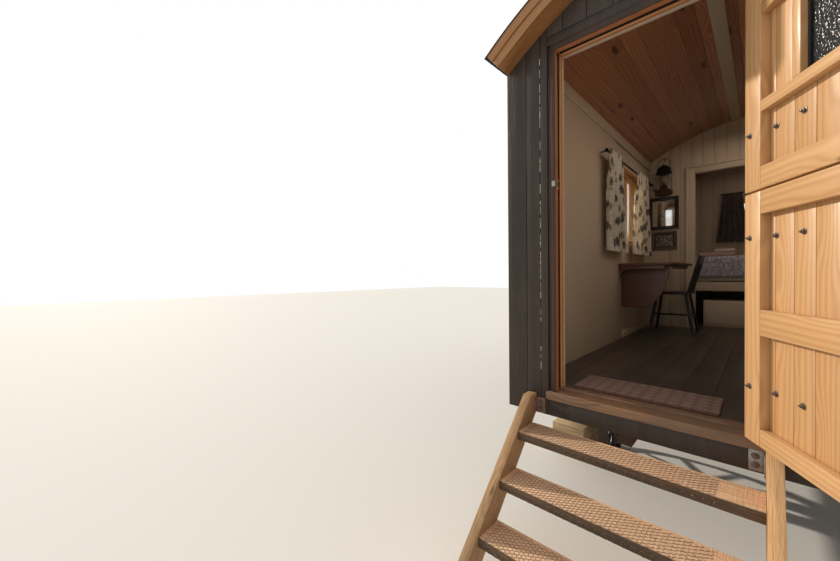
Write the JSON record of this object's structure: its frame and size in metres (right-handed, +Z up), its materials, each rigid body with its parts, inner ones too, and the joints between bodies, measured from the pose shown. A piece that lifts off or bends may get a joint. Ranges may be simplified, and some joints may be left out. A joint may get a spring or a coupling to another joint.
{
  "type": "shepherds hut",
  "caption": "Wheeled timber hut with a barrel roof, a two-leaf stable door and open timber steps.",
  "frame": {"origin": "on the ground, under the middle of the plan of the hut with its steps and open door", "axes": "+X to the right for someone facing the door, +Y from the door into the hut, +Z up"},
  "size_m": [2.5242, 6.4094, 3.2221],
  "materials": {
    "bearer_timber": "sawn timber, matt",
    "bed_linen": "blue-grey patterned cotton",
    "black_chair": "black satin paint",
    "charcoal_boards": "charcoal paint on vertical boards, satin",
    "cream_paint": "cream eggshell paint on boards",
    "curtain_print": "pale cloth with a dark leaf print",
    "dark_cloth": "dark brown cloth",
    "dark_pane": "obscured patterned pane",
    "door_pine": "clear varnished pine, satin",
    "floor_boards": "dark matt boards",
    "frame_stain": "red-brown stain, satin",
    "hinge_black": "black coated steel, satin",
    "iron": "black painted cast iron",
    "knotty_pine": "varnished knotty pine, satin",
    "lamp_metal": "dark painted lamp with a glass chimney",
    "mahogany": "dark red polished timber, satin",
    "mat": "red-brown woven mat",
    "mattress_cloth": "cream ticking",
    "mirror_glass": "mirror in a black frame",
    "oak_trim": "golden oiled timber, satin",
    "packing_timber": "weathered sawn timber, matt",
    "pane": "clear pane",
    "picture_frame": "brown frame with a dark print",
    "roof_metal": "dark coated corrugated sheet",
    "rough_timber": "rough sawn, matt",
    "towel": "beige towelling",
    "zinc": "galvanised steel, dull"
  },
  "bodies": {
    "hut": {"axle_bolsters": "bearer_timber", "axles": "iron", "bargeboards": "oak_trim", "bed_base": "cream_paint", "bed_door_architrave": "cream_paint", "bed_drawers": "cream_paint", "bed_posts": "cream_paint", "ceiling_battens": "cream_paint", "chair_back": "black_chair", "chair_legs": "black_chair", "chair_seat": "black_chair", "chassis_rails": "iron", "cove_battens": "cream_paint", "curtain_rods": "hinge_black", "curtains": "curtain_print", "door_head": "frame_stain", "door_jambs": "frame_stain", "door_sill": "rough_timber", "doormat": "mat", "duvet": "bed_linen", "floor_deck": "floor_boards", "floor_joists": "bearer_timber", "front_beam": "charcoal_boards", "front_wall_head": "charcoal_boards", "front_wall_left": "charcoal_boards", "front_wall_right": "charcoal_boards", "hinge_plates": "hinge_black", "lantern": "lamp_metal", "lining_panel": "cream_paint", "mattress": "mattress_cloth", "mirror": "mirror_glass", "packing_base": "packing_timber", "packing_middle": "packing_timber", "packing_top": "packing_timber", "partition": "cream_paint", "picture": "picture_frame", "rear_curtains": "dark_cloth", "rear_wall": "charcoal_boards", "roof_core": "knotty_pine", "roof_sheet": "roof_metal", "side_wall_left": "charcoal_boards", "side_wall_right": "charcoal_boards", "soffits": "oak_trim", "step_brackets": "zinc", "step_stringers": "rough_timber", "step_treads": "rough_timber", "table_brackets": "mahogany", "table_leaf": "mahogany", "table_top": "mahogany", "towels": "towel", "wheels": "iron", "window_frames": "oak_trim", "window_glass": "pane"},
    "lower_leaf": {"lower_leaf_frame": "door_pine", "lower_leaf_boards": "door_pine", "lower_leaf_straps": "hinge_black"},
    "upper_leaf": {"upper_leaf_frame": "door_pine", "upper_leaf_boards": "door_pine", "upper_leaf_glass": "dark_pane", "upper_leaf_straps": "hinge_black"}
  },
  "joints": [
    {"name": "lower_leaf_hinge", "type": "hinge", "parent": "hut", "child": "lower_leaf", "pos_m": [-0.0295, -2.39733, 1.259], "axis": [0, 0, 1], "range_deg": [-119.4, 50]},
    {"name": "upper_leaf_hinge", "type": "hinge", "parent": "hut", "child": "upper_leaf", "pos_m": [-0.0295, -2.39733, 2.229], "axis": [0, 0, 1], "range_deg": [-119.4, 50]}
  ]
}
